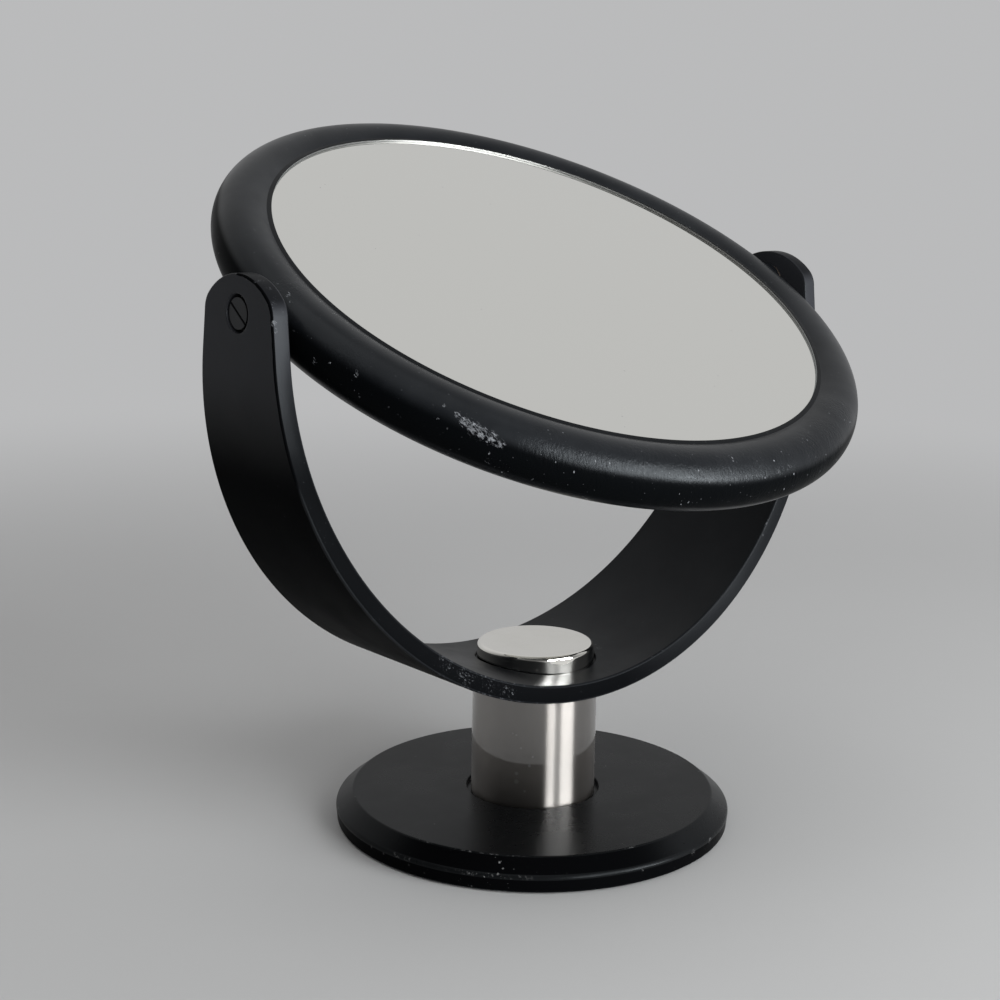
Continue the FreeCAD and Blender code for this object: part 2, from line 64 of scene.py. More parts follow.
def add(tree, kind, settings=None, **sockets):
    # a node with its settings, and numbers or links on its sockets (underscores stand for spaces)
    made = tree.nodes.new("ShaderNode" + kind)
    for key, value in (settings or {}).items():
        setattr(made, key, value)
    for key, value in sockets.items():
        plug(tree, made.inputs[key.replace("_", " ")], value)
    return made


def combine(tree, operation, first, second=None, clamp=False):
    made = tree.nodes.new("ShaderNodeMath")
    made.operation = operation
    made.use_clamp = clamp
    plug(tree, made.inputs[0], first)
    if second is not None:
        plug(tree, made.inputs[1], second)
    return made.outputs[0]


def most(tree, *marks):
    # the strongest of several masks
    strongest = marks[0]
    for mark in marks[1:]:
        strongest = combine(tree, "MAXIMUM", strongest, mark)
    return strongest


def remap(tree, value, low, high, outLow=0.0, outHigh=1.0):
    made = add(tree, "MapRange", {"interpolation_type": "SMOOTHSTEP"}, Value=value, From_Min=low,
               From_Max=high, To_Min=outLow, To_Max=outHigh)
    return made.outputs["Result"]


def mixColour(tree, factor, first, second):
    made = tree.nodes.new("ShaderNodeMix")
    made.data_type = "RGBA"
    plug(tree, made.inputs[0], factor)
    plug(tree, made.inputs[6], first)
    plug(tree, made.inputs[7], second)
    return made.outputs[2]


def vectorMaths(tree, operation, vector, fixed=None):
    made = tree.nodes.new("ShaderNodeVectorMath")
    made.operation = operation
    tree.links.new(vector, made.inputs[0])
    if fixed is not None:
        made.inputs[1].default_value = fixed
    return made


def colour(red, green, blue):
    return (red, green, blue, 1.0)


def place(tree, scale=(1, 1, 1), turn=(0, 0, 0), shift=(0, 0, 0)):
    # the piece's own coordinates, stretched, turned and moved
    start = tree.nodes.new("ShaderNodeTexCoord").outputs["Object"]
    made = add(tree, "Mapping", Vector=start, Location=shift, Rotation=turn, Scale=scale)
    return made.outputs[0]


def noise(tree, vector, scale, detail=3.0, rough=0.55):
    made = add(tree, "TexNoise", Vector=vector, Scale=scale, Detail=detail, Roughness=rough)
    return made.outputs["Fac"]


def nearAny(tree, here, spots):
    # spots are (x, y, z, reach, strength) in millimetres: full strength at the spot, none beyond its reach
    marks = []
    for x, y, z, reach, strength in spots:
        away = vectorMaths(tree, "DISTANCE", here, (x * mm, y * mm, z * mm)).outputs["Value"]
        marks.append(remap(tree, away, reach * mm, reach * 0.3 * mm, 0.0, strength))
    return most(tree, *marks)


def specks(tree, vector, scale, size, share):
    # round marks at random cells: near a cell's centre, and only in the given share of the cells
    cells = add(tree, "TexVoronoi", Vector=vector, Scale=scale, Randomness=1.0)
    close = remap(tree, cells.outputs["Distance"], size, size * 0.5)
    pick = tree.nodes.new("ShaderNodeSeparateColor")
    tree.links.new(cells.outputs["Color"], pick.inputs[0])
    chosen = combine(tree, "LESS_THAN", pick.outputs[0], share)
    weight = combine(tree, "ADD", combine(tree, "MULTIPLY", pick.outputs[1], 0.7), 0.3)
    return combine(tree, "MULTIPLY", combine(tree, "MULTIPLY", close, chosen), weight)


def strokes(tree, turn, scale, share, seed):
    # short fine scratches, all one way: specks in coordinates squeezed along one direction
    return specks(tree, place(tree, (scale * 2, scale * 0.13, scale), turn, (seed, seed, 0)), 1.0, 0.14,
                  share)


def bumped(tree, shader, height, distance, strength=1.0, before=None):
    made = add(tree, "Bump", Height=height, Distance=distance, Strength=strength)
    if before is not None:
        tree.links.new(before, made.inputs["Normal"])
    tree.links.new(made.outputs[0], shader.inputs["Normal"])
    return made.outputs[0]


def skinTone(tree, here, look, rounded, mattShade):
    # the skin by itself: handling haze, a painted sheen that greys it from one height upwards but not on
    # the rounded edges, and painted shade that darkens it where the skin is matt
    haze = remap(tree, noise(tree, here, 34.0, 5.0, 0.62), 0.36, 0.74)
    skin = mixColour(tree, haze, colour(*look["deep"]), colour(*look["dusty"]))
    if look["handlingAndSheen"]:
        # painted sheen: the skin is greyed lighter from one height upwards, except on rounded edges and
        # where matt
        height = add(tree, "SeparateXYZ", Vector=here).outputs["Z"]
        sheenMask = remap(tree, height, look["handlingAndSheen"][0] * mm, look["handlingAndSheen"][1] * mm)
        flat = combine(tree, "SUBTRACT", 1.0, combine(tree, "ADD", rounded, mattShade, True))
        skin = mixColour(tree, combine(tree, "MULTIPLY", sheenMask, flat), skin, colour(*look["paintedSheen"]))
    # painted shade: the shaded tone darkens the skin wherever it is matt
    return mixColour(tree, mattShade, skin, colour(*look["shaded"]))


def speckMarks(tree, here, look, used):
    # dots, fine dust and strokes, crowded where the piece is worn
    crowd = combine(tree, "ADD", remap(tree, noise(tree, here, 26.0, 3.0), 0.5, 0.74, 0.12, 0.8), used,
                    True)
    dots = specks(tree, place(tree, turn=(0.6, 0.2, 1.1)), look["speckScale"], 0.14, look["speckShare"])
    dust = specks(tree, place(tree, turn=(0.1, 0.9, 0.3)), 1500.0, 0.2, 0.12)
    lines = most(tree, strokes(tree, (0.4, 0.1, 0.9), 520.0, look["strokeShare"], 3.1),
                 strokes(tree, (1.2, 0.7, -0.5), 430.0, look["strokeShare"], 7.7))
    marks = most(tree, dots, lines, combine(tree, "MULTIPLY", dust, 0.35))
    return combine(tree, "MULTIPLY", marks, crowd)


def rubbedEdges(tree, here, look, used, rounded):
    # rounded edges chipped pale in stretches, with a thin line of wear between them
    ragged = remap(tree, noise(tree, here, 1100.0, 4.0, 0.7), 0.52, 0.66)
    often = remap(tree, noise(tree, here, 95.0, 3.0, 0.6), look["edgeFrom"], look["edgeFrom"] + 0.12)
    chipped = combine(tree, "MULTIPLY", ragged, combine(tree, "MAXIMUM", often, used))
    shown = combine(tree, "MULTIPLY", combine(tree, "ADD", chipped, look["edgeLine"], True),
                    look["edgeShow"])
    return combine(tree, "MULTIPLY", rounded, shown)


def scuffMarks(tree, here, look):
    # slanting flecks where a spot is strong, thinning out raggedly towards its reach; the coordinates are
    # turned first and squeezed after, so that the flecks slant
    scuffed = nearAny(tree, here, look["scuffed"])
    lacking = combine(tree, "MULTIPLY", combine(tree, "SUBTRACT", 1.0, scuffed), 0.2)
    slanting = add(tree, "Mapping", Vector=place(tree, turn=(0.59, 0.55, 0)), Scale=(1, 1, 0.36))
    flecks = combine(tree, "SUBTRACT", noise(tree, slanting.outputs[0], 2500.0, 4.0, 0.75), lacking)
    uneven = remap(tree, noise(tree, here, 900.0, 2.0), 0.3, 0.7, 0.4, 1.0)
    strength = combine(tree, "MULTIPLY", remap(tree, scuffed, 0.0, 0.9), uneven)
    return combine(tree, "MULTIPLY", combine(tree, "MULTIPLY", remap(tree, flecks, 0.44, 0.57), strength),
                   look["scuffShow"])


def satinBlack(name, look):
    # moulded black plastic with a satin skin and pale wear. The edge attribute is 1 on edges rubbed pale,
    # -1 where the skin is matt and painted darker as shade, and 2 on plating.
    material, tree, shader = newMaterial(name)
    here = place(tree)
    used = nearAny(tree, here, look["worn"])
    edge = add(tree, "Attribute", {"attribute_name": "edge"}).outputs["Fac"]
    rounded, mattShade = remap(tree, edge, 0.0, 1.0), remap(tree, edge, 0.0, -1.0)
    skin = skinTone(tree, here, look, rounded, mattShade)
    pale = most(tree, speckMarks(tree, here, look, used), rubbedEdges(tree, here, look, used, rounded),
                scuffMarks(tree, here, look))
    paint = mixColour(tree, combine(tree, "MULTIPLY", pale, look["markShow"], True), skin,
                      colour(*look["pale"]))
    cloud = noise(tree, place(tree, shift=(0.3, 0.1, 0.2)), 70.0, 5.0, 0.6)
    rough = remap(tree, cloud, 0.3, 0.7, look["rough"] - look["uneven"], look["rough"] + look["uneven"])
    rough = combine(tree, "ADD", rough, combine(tree, "MULTIPLY", pale, 0.25), True)
    if look["plated"]:
        plated = remap(tree, edge, 1.3, 1.7)
        paint = mixColour(tree, plated, paint, colour(*look["plated"]))
        rough = remap(tree, plated, 0.0, 1.0, rough, look["platedRough"])
        tree.links.new(plated, shader.inputs["Metallic"])
    tree.links.new(paint, shader.inputs["Base Color"])
    tree.links.new(rough, shader.inputs["Roughness"])
    tree.links.new(remap(tree, mattShade, 0.0, 1.0, look["gloss"], look["gloss"] * look["mattGloss"]),
                   shader.inputs["Specular IOR Level"])
    shader.inputs["IOR"].default_value = look["bend"]
    shader.inputs["Specular Tint"].default_value = colour(0.90, 0.96, 1.0)
    fine = bumped(tree, shader, noise(tree, here, 4200.0, 2.0), 0.00002, look["grain"])
    handlingAndSheen = combine(tree, "MULTIPLY", used, noise(tree, place(tree, (1, 1, 0.4)), 1300.0, 3.0, 0.7))
    bumped(tree, shader, combine(tree, "ADD", pale, combine(tree, "MULTIPLY", handlingAndSheen, look["rubs"])),
           0.00003, 0.4, fine)
    return material


def polishedMetal(name, look):
    # plated or polished metal: smears in the roughness, turned lines and a few dull spots
    material, tree, shader = newMaterial(name)
    shader.inputs["Metallic"].default_value = 1.0
    here = place(tree)
    smear = remap(tree, noise(tree, place(tree, (1, 1, 0.35)), 55.0, 4.0), 0.4, 0.75)
    spots = most(tree, specks(tree, here, look["spotScale"], 0.2, look["spotShare"]),
                 nearAny(tree, here, look["marked"]))
    lines = noise(tree, place(tree, look["brush"]), 1.0, 3.0)
    tone = mixColour(tree, smear, colour(*look["bright"]), colour(*look["dull"]))
    tree.links.new(mixColour(tree, spots, tone, colour(*look["spot"])), shader.inputs["Base Color"])
    rough = combine(tree, "ADD", remap(tree, smear, 0.0, 1.0, look["rough"], look["rough"] * 1.5),
                    combine(tree, "MULTIPLY", spots, 0.3), True)
    tree.links.new(rough, shader.inputs["Roughness"])
    if look["drawn"]:
        # fine lines run round the axis, so lights spread up and down, and a clear skin over them keeps a
        # crisp image
        shader.inputs["Anisotropic"].default_value = look["drawn"]
        shader.inputs["Anisotropic Rotation"].default_value = 0.25
        around = add(tree, "Tangent", {"direction_type": "RADIAL", "axis": "Z"})
        tree.links.new(around.outputs[0], shader.inputs["Tangent"])
        shader.inputs["Coat Weight"].default_value = 1.0
        shader.inputs["Coat IOR"].default_value = look["skinBend"]
        shader.inputs["Coat Roughness"].default_value = look["skinRough"]
    bumped(tree, shader, combine(tree, "ADD", lines, spots), look["depth"], 0.4)
    return material


def silveredGlass(name, look):
    # silvering seen through clean glass, with a breath of dust and wiped smears
    material, tree, shader = newMaterial(name)
    shader.inputs["Metallic"].default_value = 1.0
    wiped = remap(tree, noise(tree, place(tree, (1, 0.3, 1), (0, 0, 0.6)), 40.0, 5.0), 0.45, 0.8)
    dust = specks(tree, place(tree), 420.0, 0.1, 0.04)
    tree.links.new(mixColour(tree, dust, colour(*look["silver"]), colour(*look["dust"])),
                   shader.inputs["Base Color"])
    tree.links.new(combine(tree, "ADD", remap(tree, wiped, 0.0, 1.0, 0.004, look["smear"]),
                           combine(tree, "MULTIPLY", dust, 0.4)), shader.inputs["Roughness"])
    return material


def plainFinish(name, deep, pale, rough, metallic=0.0, grainScale=1500.0):
    # small fittings: two close tones with a fine grain
    material, tree, shader = newMaterial(name)
    shader.inputs["Metallic"].default_value = metallic
    here = place(tree)
    blend = remap(tree, noise(tree, here, 120.0, 4.0), 0.3, 0.7)
    tree.links.new(mixColour(tree, blend, colour(*deep), colour(*pale)), shader.inputs["Base Color"])
    tree.links.new(remap(tree, noise(tree, here, 300.0, 3.0), 0.3, 0.7, rough - 0.06, rough + 0.08),
                   shader.inputs["Roughness"])
    bumped(tree, shader, noise(tree, here, grainScale, 3.0), 0.00003, 0.5)
    return material


# the black looks: deep and dusty are the skin's two tones, shaded is the painted shade where the skin is
# matt, paintedSheen the painted lighter tone above the heights in handlingAndSheen, and pale the tone of
# all wear. Roughness wanders by uneven, and the values that end in Show say how strongly each kind of wear
# shows. Worn spots collect more specks and strokes, and scuffed spots are rubbed to pale flecks; each spot
# is (x, y, z, reach, strength) in millimetres.
ringLook = {"deep": (0.0046, 0.0052, 0.0064), "dusty": (0.0115, 0.0124, 0.0142), "pale": (0.34, 0.35, 0.37),
            "rough": 0.33, "uneven": 0.05, "gloss": 0.47, "bend": 1.33, "grain": 0.35, "speckScale": 560.0,
            "speckShare": 0.20, "strokeShare": 0.09, "markShow": 0.8, "edgeShow": 0.0, "edgeFrom": 0.5,
            "edgeLine": 0.0, "scuffShow": 0.85, "handlingAndSheen": (), "rubs": 12.0,
            "shaded": (0.0022, 0.0026, 0.0030), "mattGloss": 0.06, "plated": (0.32, 0.32, 0.316),
            "platedRough": 0.46,
            "worn": [(-50, -58, 108, 9, 1), (-41, -64, 105, 9, 1), (-32, -68, 104, 9, 1),
                     (-22, -71, 102, 10, 1), (-11, -74, 101, 9, 1), (-2, -74, 100, 9, 1),
                     (8, -74, 100, 9, 1), (19, -72, 102, 9, 1), (29, -68, 104, 9, 1),
                     (40, -62, 109, 8, 0.8), (-79, -4, 138, 7, 1), (-58, -52, 105, 6, 1),
                     (-76, -24, 123, 9, 1)],
            "scuffed": [(-64.1, -45.9, 115.4, 1.4, 0.9), (-63.1, -47.4, 114.1, 2.1, 0.9),
                        (-62.1, -48.7, 112.9, 2.3, 0.95), (-60.9, -50.1, 111.9, 2.4, 0.95),
                        (-59.6, -51.4, 110.9, 2.3, 0.95), (-58.3, -52.8, 109.7, 1.8, 0.85),
                        (-65.6, -43.4, 117.0, 0.7, 0.8), (-67.1, -43.4, 114.4, 0.6, 0.6),
                        (-59.3, -50.2, 105.9, 1.6, 0.45), (-57.8, -51.1, 104.6, 1.2, 0.45),
                        (-48.6, -56.6, 112.2, 0.35, 1), (-49.4, -59.2, 108.4, 2.2, 0.4),
                        (-44.6, -62.2, 106.9, 2.8, 0.45), (-39.0, -65.3, 105.3, 2.8, 0.4),
                        (-33.0, -67.9, 104.2, 2.6, 0.35), (-2.0, -74.3, 100.3, 2.2, 0.4),
                        (4.0, -74.2, 100.6, 1.8, 0.4), (8.1, -74.0, 101.0, 1.5, 0.55),
                        (-78.8, -6.1, 137.1, 0.9, 0.9), (-78.8, -1.9, 139.3, 0.6, 0.8),
                        (-74.6, -2.8, 139.7, 0.6, 0.8), (-79.2, -7.6, 136.0, 0.9, 0.6),
                        (-80.2, -17.9, 124.8, 0.8, 0.9), (-80.2, -17.9, 124.0, 0.8, 0.9),
                        (-76.4, -27.7, 123.2, 0.7, 0.9), (-76.4, -27.7, 122.4, 0.9, 1),
                        (-74.9, -29.8, 121.2, 0.8, 0.4)]}
yokeLook = {"deep": (0.0050, 0.0055, 0.0066), "dusty": (0.0085, 0.0090, 0.0102), "pale": (0.28, 0.29, 0.31),
            "rough": 0.38, "uneven": 0.04, "gloss": 0.42, "bend": 1.22, "grain": 0.45, "speckScale": 480.0,
            "speckShare": 0.05, "strokeShare": 0.03, "markShow": 0.7, "edgeShow": 0.45, "edgeFrom": 0.57,
            "edgeLine": 0.02, "scuffShow": 0.75, "handlingAndSheen": (92, 128), "paintedSheen": (0.029, 0.030, 0.034),
            "rubs": 1.0, "shaded": (0.0022, 0.0024, 0.0028), "mattGloss": 0.04, "plated": (),
            "worn": [(-87, -9, 139.5, 5, 1), (-87, -13, 135, 5, 1), (-36, -22, 48, 9, 1),
                     (-28, -22.5, 43, 7, 1), (-46, -21, 54, 5, 1)],
            "scuffed": [(-85.6, -6.5, 141.0, 1.9, 0.6), (-85.5, -9.5, 139.9, 1.9, 0.65),
                        (-85.3, -12.0, 138.0, 1.7, 0.6), (-87.7, -4.0, 140.9, 0.8, 0.7),
                        (-87.7, -6.7, 140.5, 0.9, 0.8), (-87.7, -9.0, 139.6, 0.9, 0.7),
                        (-87.0, -11.5, 138.3, 0.9, 0.9), (-86.4, -12.6, 136.6, 1.2, 0.7),
                        (-84.9, -13.3, 134.8, 1.0, 0.6),
                        (-87.2, -13.4, 132.4, 1.2, 0.95), (-86.9, -13.5, 130.8, 1.0, 0.9),
                        (-46.0, -21.5, 54.0, 4.6, 0.5), (-40.5, -21.8, 50.0, 5.2, 0.52),
                        (-34.0, -22.1, 47.0, 5.0, 0.46), (-28.5, -22.4, 43.6, 4.2, 0.48),
                        (-39.6, -21.8, 51.4, 1.1, 0.9), (-27.0, -22.6, 42.9, 0.9, 0.7),
                        (15.6, -6.9, 42.3, 1.6, 0.8), (16.3, -4.4, 42.5, 1.2, 0.7),
                        (12.9, -10.6, 42.0, 1.1, 0.6)]}
baseLook = {"deep": (0.0042, 0.0046, 0.0050), "dusty": (0.0076, 0.0080, 0.0086), "pale": (0.40, 0.40, 0.40),
            "rough": 0.29, "uneven": 0.03, "gloss": 0.44, "bend": 1.19, "grain": 0.2, "speckScale": 330.0,
            "speckShare": 0.05, "strokeShare": 0.012, "markShow": 0.75, "edgeShow": 0.4, "edgeFrom": 0.58,
            "edgeLine": 0.0, "scuffShow": 0.9, "handlingAndSheen": (), "rubs": 1.0,
            "shaded": (0.0018, 0.0019, 0.0022), "mattGloss": 0.1, "plated": (),
            "worn": [(-39, -26, 6, 9, 1), (-37, -32, 4, 8, 1), (24, -2, 7.6, 7, 1), (2, -32, 7.6, 6, 1)],
            "scuffed": [(-39.5, -22.9, 7.4, 0.5, 1), (-36.4, -30.0, 6.4, 0.7, 1),
                        (-36.7, -31.4, 5.5, 0.5, 0.9), (-38.2, -31.5, 4.5, 0.6, 1),
                        (-40.5, -29.2, 3.7, 0.4, 0.9), (-30.4, -26.6, 7.6, 1.5, 0.35),
                        (-8.9, -42.4, 7.5, 0.5, 0.8),
                        (31.3, -0.7, 7.6, 0.4, 0.7), (23.7, -2.4, 7.6, 0.5, 0.7),
                        (-27.5, 16.5, 7.6, 0.8, 0.5), (-36.1, -5.1, 7.6, 0.5, 0.6),
                        (-9.0, -49.4, 3.6, 1.2, 0.5), (8.0, -49.0, 3.4, 1.4, 0.6),
                        (15.8, -47.4, 3.7, 1.3, 0.7)]}
screwLook = {"deep": (0.010, 0.010, 0.011), "dusty": (0.020, 0.020, 0.022), "pale": (0.30, 0.30, 0.30),
             "rough": 0.36, "uneven": 0.05, "gloss": 0.4, "bend": 1.40, "grain": 0.6, "speckScale": 900.0,
             "speckShare": 0.05, "strokeShare": 0.05, "markShow": 0.4, "edgeShow": 0.0, "edgeFrom": 0.5,
             "edgeLine": 0.0, "scuffShow": 0.4, "handlingAndSheen": (), "rubs": 0.0, "shaded": (0.004, 0.004, 0.004),
             "mattGloss": 0.4, "plated": (), "worn": [(-87, 0, 133.2, 5, 1)],
             "scuffed": [(-87, 0, 136, 1.0, 1)]}
tubeLook = {"bright": (0.275, 0.257, 0.24), "dull": (0.22, 0.205, 0.19), "spot": (0.60, 0.59, 0.57),
            "rough": 0.29, "spotScale": 300.0, "spotShare": 0.012, "brush": (30, 30, 2600),
            "depth": 0.000001, "drawn": 1.0, "skinBend": 1.9, "skinRough": 0.04,
            "marked": [(-13.3, -8.5, 25.8, 0.35, 0.6), (-11.2, -11.2, 18.2, 0.5, 0.8),
                       (-13.2, -8.7, 16.0, 0.6, 0.7), (-13.2, -8.7, 13.9, 0.8, 0.5),
                       (-10.6, -11.7, 20.5, 0.4, 0.5), (-12.6, -9.5, 22.6, 0.4, 0.4),
                       (-11.9, -10.4, 11.6, 0.4, 0.5)]}
capLook = {"bright": (0.90, 0.88, 0.83), "dull": (0.84, 0.82, 0.76), "spot": (0.55, 0.53, 0.48),
           "rough": 0.05, "spotScale": 380.0, "spotShare": 0.012, "brush": (500, 500, 500),
           "depth": 0.000002, "drawn": 0.0,
           "marked": [(-12.0, -8.2, 42.6, 0.5, 0.5), (-9.5, -11.2, 42.3, 0.6, 0.6)]}
glassLook = {"silver": (0.85, 0.845, 0.805), "dust": (0.55, 0.55, 0.54), "smear": 0.03}

finishes = {
    "base_black": satinBlack("baseSatin", baseLook),
    "yoke_black": satinBlack("yokeSatin", yokeLook),
    "ring_black": satinBlack("ringSatin", ringLook),
    "screw_black": satinBlack("screwBlack", screwLook),
    "tube_steel": polishedMetal("postSteel", tubeLook),
    "cap_chrome": polishedMetal("capNickel", capLook),
    "mirror_plain": silveredGlass("plainMirror", glassLook),
    "mirror_bent": silveredGlass("bentMirror", glassLook),
    "weight_iron": plainFinish("castIron", (0.05, 0.048, 0.045), (0.09, 0.085, 0.08), 0.6, 0.6, 900.0),
    "foot_foam": plainFinish("footFoam", (0.012, 0.012, 0.012), (0.022, 0.022, 0.022), 0.85),
    "fastener_steel": plainFinish("zincSteel", (0.42, 0.42, 0.40), (0.55, 0.55, 0.53), 0.35, 1.0),
    "insert_brass": plainFinish("insertBrass", (0.62, 0.44, 0.17), (0.72, 0.54, 0.25), 0.3, 1.0),
    "bush_nylon": plainFinish("bushNylon", (0.60, 0.58, 0.53), (0.68, 0.66, 0.61), 0.5),
    "backing_foam": plainFinish("backingFoam", (0.55, 0.54, 0.50), (0.64, 0.63, 0.60), 0.9),
    "washer_fibre": plainFinish("fibreWasher", (0.05, 0.035, 0.025), (0.08, 0.055, 0.04), 0.7),
}
for node in nodes.values():
    chosen = finishes[node.data.materials[0].name.split(".")[0]]
    node.data.materials.clear()
    node.data.materials.append(chosen)
print("finishes set on", len(nodes), "nodes")


# how the new pieces are made: every one is a set of grids of points, joined where their borders meet

def gridFaces(rows, columns, start, joinRows=False, joinColumns=False, kept=None):
    # quads of a grid whose points are numbered row by row from start
    across = np.arange(rows if joinRows else rows - 1)[:, None]
    along = np.arange(columns if joinColumns else columns - 1)[None, :]
    nextAcross, nextAlong = (across + 1) % rows, (along + 1) % columns
    quads = np.stack([across * columns + along, nextAcross * columns + along,
                      nextAcross * columns + nextAlong, across * columns + nextAlong], -1) + start
    return quads[kept] if kept is not None else quads.reshape(-1, 4)


def makePiece(name, grids, body, slotName, stands, sharp=38.0):
    # grids are (points, edge wear, gridFaces settings); doubles along shared borders are merged
    points, wear, quads, start = [], [], [], 0
    for surface, worn, settings in grids:
        points.append(surface.reshape(-1, 3))
        wear.append(np.broadcast_to(worn, surface.shape[:2]).reshape(-1))
        quads.append(gridFaces(surface.shape[0], surface.shape[1], start, **settings))
        start += surface.shape[0] * surface.shape[1]
    points, wear, quads = np.concatenate(points), np.concatenate(wear), np.concatenate(quads)
    mesh = bpy.data.meshes.new(name)
    mesh.from_pydata((points * mm).tolist(), [], quads.tolist())
    mesh.attributes.new("edge", "FLOAT", "POINT").data.foreach_set("value", wear.astype(np.float32))
    work = bmesh.new()
    work.from_mesh(mesh)
    bmesh.ops.remove_doubles(work, verts=work.verts, dist=2e-6)
    bmesh.ops.dissolve_degenerate(work, edges=work.edges, dist=1e-7)
    bmesh.ops.recalc_face_normals(work, faces=work.faces)
    if work.calc_volume(signed=True) < 0:
        bmesh.ops.reverse_faces(work, faces=work.faces)
    work.to_mesh(mesh)
    work.free()
    mesh.shade_smooth()
    mesh.set_sharp_from_angle(angle=math.radians(sharp))
    mesh.materials.append(finishes[slotName])
    piece = bpy.data.objects.new(name, mesh)
    bpy.context.scene.collection.objects.link(piece)
    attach(piece, body)
    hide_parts(*stands)
    print("made", name, "with", len(mesh.polygons), "faces")


def softened(corners, closed=True, pieces=5):
    # a path of corners (across, up, round): each corner becomes an arc of its own radius tangent to both
    # sides, at corner + (towards before) + (towards after), with a holding point just before and after it.
    # Returns the points and how worn each is: 1 on the arcs.
    path, worn = [], []
    spots = np.array([corner[:2] for corner in corners], float)
    for i, corner in enumerate(corners):
        ended = not closed and i in (0, len(corners) - 1)
        if len(corner) < 3 or ended:
            path.append(spots[i][None, :])
            worn.append(np.zeros(1))
            continue
        before, after = spots[i - 1] - spots[i], spots[(i + 1) % len(corners)] - spots[i]
        before, after = before / np.linalg.norm(before), after / np.linalg.norm(after)
        half = math.acos(np.clip(before @ after, -1, 1)) / 2
        middle = (before + after) / np.linalg.norm(before + after)
        centre = spots[i] + middle * corner[2] / math.sin(half)
        reach = corner[2] / math.tan(half)
        first, last = spots[i] + before * reach - centre, spots[i] + after * reach - centre
        swing = math.pi - 2 * half
        share = np.linspace(0, 1, pieces + 1)[:, None]
        arc = (first * np.sin((1 - share) * swing) + last * np.sin(share * swing)) / math.sin(swing)
        hold = min(0.25 * corner[2], 0.12)
        path.append(np.concatenate([(spots[i] + before * (reach + hold))[None, :], arc + centre,
                                    (spots[i] + after * (reach + hold))[None, :]]))
        worn.append(np.concatenate([[0], np.sin(np.linspace(0.15, math.pi - 0.15, pieces + 1)), [0]]))
    return np.concatenate(path), np.concatenate(worn)


def arcPoints(centre, radius, fromTurn, toTurn, count):
    # centre + radius * (cos a, sin a) for turns a in degrees
    turn = np.radians(np.linspace(fromTurn, toTurn, count))
    return np.stack([centre[0] + radius * np.cos(turn), centre[1] + radius * np.sin(turn)], -1)


def turned(profile, worn, closed, steps=192):
    # a profile (r, h) carried round the post axis: (r cos a, r sin a, h)
    turn = np.linspace(0, 2 * np.pi, steps, endpoint=False)[:, None]
    r, h = profile[:, 0][None, :], profile[:, 1][None, :]
    points = np.stack([r * np.cos(turn), r * np.sin(turn), h + 0 * turn], -1)
    return points, worn[None, :], {"joinRows": True, "joinColumns": closed}


# base, post tube and cap: turned about the post axis
baseSizes = {"rim": 50.0, "foot": 49.6, "footHeight": 0.4, "bevelLow": 4.2, "topRim": 45.7, "top": 7.6,
             "recess": 16.9, "recessFloor": 6.4, "cavity": 46.4, "cavityTop": 4.4, "locator": 14.2,
             "locatorTop": 9.6, "boltWay": 3.3, "bevelEase": 1.2, "topEase": 0.8, "smallEase": 0.3,
             "mattShadeTurn": 228.0}


def makeBase():
    size = baseSizes
    profile, worn = softened([
        (size["boltWay"], size["cavityTop"]), (size["cavity"], size["cavityTop"]),
        (size["cavity"], size["footHeight"]), (size["foot"], size["footHeight"], size["smallEase"]),
        (size["rim"], size["bevelLow"], size["bevelEase"]), (size["topRim"], size["top"], size["topEase"]),
        (size["recess"], size["top"], size["smallEase"]), (size["recess"], size["recessFloor"]),
        (size["locator"], size["recessFloor"]), (size["locator"], size["locatorTop"]),
        (size["boltWay"], size["locatorTop"])])
    points, worn, joins = turned(profile, worn, True, 288)
    # matt and painted darker as shade all round the side, and on the bevel where it faces the camera
    x, y, z = points[..., 0], points[..., 1], points[..., 2]
    side = (z < size["bevelLow"]) & (z > size["footHeight"])
    bevel = (z >= size["bevelLow"]) & (z < size["top"] - 0.05)
    turn = np.arctan2(y, x) - math.radians(size["mattShadeTurn"])
    flank = np.where(side, -1, np.where(bevel, -np.clip((np.cos(turn) - 0.6) / 0.3, 0, 1), 0))
    flank = np.where(np.hypot(x, y) > size["recess"] + 5, flank, 0)
    makePiece("base", [(points, np.where(worn > 0.05, worn, flank), joins)], "stand", "base_black",
              ["base_shell"])


makeBase()

tubeSizes = {"radius": 15.8, "bore": 14.3, "low": 6.4, "high": 37.9, "ease": 0.25}
profile, worn = softened([
    (tubeSizes["bore"], tubeSizes["low"]), (tubeSizes["radius"], tubeSizes["low"], tubeSizes["ease"]),
    (tubeSizes["radius"], tubeSizes["high"], tubeSizes["ease"]), (tubeSizes["bore"], tubeSizes["high"])])
makePiece("postTube", [turned(profile, worn, True, 256)], "stand", "tube_steel", ["post_tube"])

capSizes = {"radius": 14.8, "foot": 14.55, "footTop": 41.05, "seat": 40.85, "top": 45.5, "insertWay": 5.22,
            "insertTop": 44.4, "ease": 1.05}
profile, worn = softened([
    (0, capSizes["insertTop"]), (capSizes["insertWay"], capSizes["insertTop"]),
    (capSizes["insertWay"], capSizes["seat"]), (capSizes["foot"], capSizes["seat"]),
    (capSizes["foot"], capSizes["footTop"]), (capSizes["radius"], capSizes["footTop"]),
    (capSizes["radius"], capSizes["top"], capSizes["ease"]), (0, capSizes["top"])], closed=False, pieces=8)
makePiece("cap", [turned(profile, worn, False, 256)], "stand", "cap_chrome", ["cap"])
